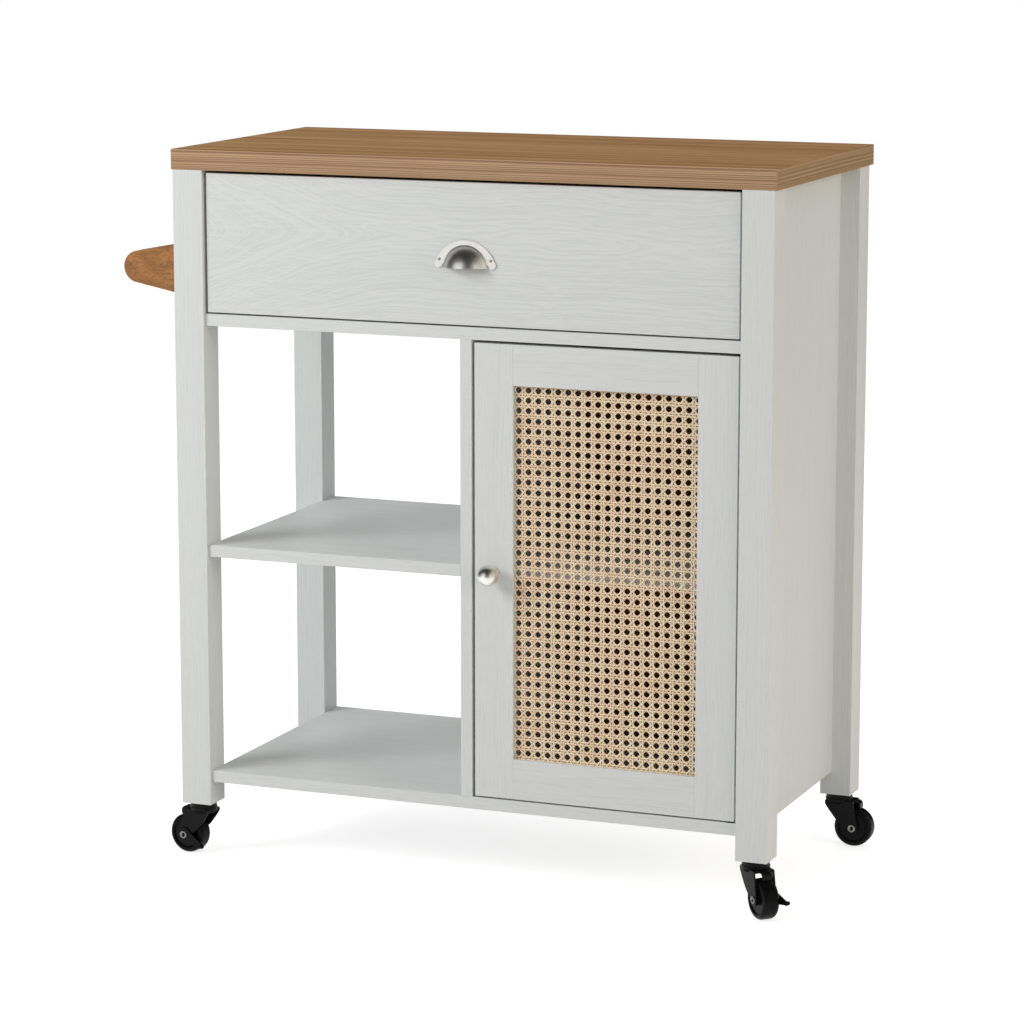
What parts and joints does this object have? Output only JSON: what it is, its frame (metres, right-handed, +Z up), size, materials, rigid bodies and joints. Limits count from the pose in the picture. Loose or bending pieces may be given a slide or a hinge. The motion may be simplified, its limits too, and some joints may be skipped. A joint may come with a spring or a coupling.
{
  "type": "kitchen island cart",
  "caption": "Kitchen island cart with a wooden top, full-width drawer, caned cabinet door, open shelves, a towel rail and locking swivel casters.",
  "frame": {"origin": "On the floor, under the middle of the whole cart's box, brackets and casters included", "axes": "+X to the cart's right seen from its front, +Y to its back, +Z up"},
  "size_m": [0.8862, 0.423, 0.9],
  "materials": {
    "oak_top": "satin warm oak-brown with fine grain",
    "white_foil": "satin pale grey-white foil with embossed grain on board",
    "birch": "bare pale wood",
    "zinc": "zinc-plated steel",
    "nickel": "satin nickel",
    "nylon": "off-white nylon",
    "black_plastic": "black",
    "black_metal": "black satin",
    "black_wheel": "black, slightly glossy",
    "cane": "natural woven cane"
  },
  "bodies": {
    "cart": {"worktop": "oak_top", "leg_front_left": "white_foil", "leg_front_right": "white_foil", "leg_rear_left": "white_foil", "leg_rear_right": "white_foil", "side_panel_right": "white_foil", "apron_left": "white_foil", "rear_rail": "white_foil", "drawer_deck": "white_foil", "divider_panel": "white_foil", "left_shelf": "white_foil", "cabinet_shelf": "white_foil", "bottom_shelf": "white_foil", "cabinet_back": "white_foil", "towel_bracket_front": "oak_top", "towel_bracket_rear": "oak_top", "towel_rod": "oak_top", "carcass_dowels": "birch", "shelf_pins": "zinc", "worktop_brackets": "zinc", "wood_screws": "zinc", "drawer_runners": "birch", "door_bushes": "nylon", "catch_housing": "black_plastic", "caster_stems": "black_metal", "stem_sockets": "zinc", "swivel_balls": "zinc"},
    "drawer": {"drawer_front": "white_foil", "drawer_side_left": "white_foil", "drawer_side_right": "white_foil", "drawer_back": "white_foil", "drawer_bottom": "white_foil", "cup_pull": "nickel", "pull_screws": "nickel"},
    "door": {"door_stile_left": "white_foil", "door_stile_right": "white_foil", "door_rail_top": "white_foil", "door_rail_bottom": "white_foil", "door_dowels": "birch", "cane_panel": "cane", "cane_beads": "white_foil", "knob": "nickel", "knob_screw": "zinc", "door_pins": "zinc", "catch_plate": "zinc"},
    "caster_front_left": {"fork_front_left": "black_metal", "axle_front_left": "black_metal"},
    "roller_front_left": {"wheel_front_left": "black_wheel"},
    "brake_left": {"brake_lever_left": "black_metal"},
    "caster_front_right": {"fork_front_right": "black_metal", "axle_front_right": "black_metal"},
    "roller_front_right": {"wheel_front_right": "black_wheel"},
    "brake_right": {"brake_lever_right": "black_metal"},
    "caster_rear_left": {"fork_rear_left": "black_metal", "axle_rear_left": "black_metal"},
    "roller_rear_left": {"wheel_rear_left": "black_wheel"},
    "caster_rear_right": {"fork_rear_right": "black_metal", "axle_rear_right": "black_metal"},
    "roller_rear_right": {"wheel_rear_right": "black_wheel"}
  },
  "joints": [
    {"name": "drawer_slide", "type": "slide", "parent": "cart", "child": "drawer", "axis": [0, -1, 0], "range_m": [0, 0.23]},
    {"name": "door_hinge", "type": "hinge", "parent": "cart", "child": "door", "pos_m": [0.36144, -0.1735, 0.39725], "axis": [0, 0, 1], "range_deg": [0, 105]},
    {"name": "swivel_front_left", "type": "hinge", "parent": "cart", "child": "caster_front_left", "pos_m": [-0.34806, -0.1645, 0.061], "axis": [0, 0, 1], "continuous": true},
    {"name": "roll_front_left", "type": "hinge", "parent": "caster_front_left", "child": "roller_front_left", "pos_m": [-0.36886, -0.16158, 0.025], "axis": [-0.1392, -0.9903, 0], "continuous": true},
    {"name": "brake_left", "type": "hinge", "parent": "caster_front_left", "child": "brake_left", "pos_m": [-0.36886, -0.16158, 0.025], "axis": [-0.1392, -0.9903, 0], "range_deg": [0, 205]},
    {"name": "swivel_front_right", "type": "hinge", "parent": "cart", "child": "caster_front_right", "pos_m": [0.39194, -0.1645, 0.061], "axis": [0, 0, 1], "continuous": true},
    {"name": "roll_front_right", "type": "hinge", "parent": "caster_front_right", "child": "roller_front_right", "pos_m": [0.40679, -0.17935, 0.025], "axis": [0.7071, 0.7071, 0], "continuous": true},
    {"name": "brake_right", "type": "hinge", "parent": "caster_front_right", "child": "brake_right", "pos_m": [0.40679, -0.17935, 0.025], "axis": [0.7071, 0.7071, 0], "range_deg": [-205, 0]},
    {"name": "swivel_rear_left", "type": "hinge", "parent": "cart", "child": "caster_rear_left", "pos_m": [-0.34806, 0.1815, 0.061], "axis": [0, 0, 1], "continuous": true},
    {"name": "roll_rear_left", "type": "hinge", "parent": "caster_rear_left", "child": "roller_rear_left", "pos_m": [-0.36835, 0.18693, 0.025], "axis": [-0.2588, -0.9659, 0], "continuous": true},
    {"name": "swivel_rear_right", "type": "hinge", "parent": "cart", "child": "caster_rear_right", "pos_m": [0.39194, 0.1815, 0.061], "axis": [0, 0, 1], "continuous": true},
    {"name": "roll_rear_right", "type": "hinge", "parent": "caster_rear_right", "child": "roller_rear_right", "pos_m": [0.41294, 0.1815, 0.025], "axis": [0, 1, 0], "continuous": true}
  ]
}
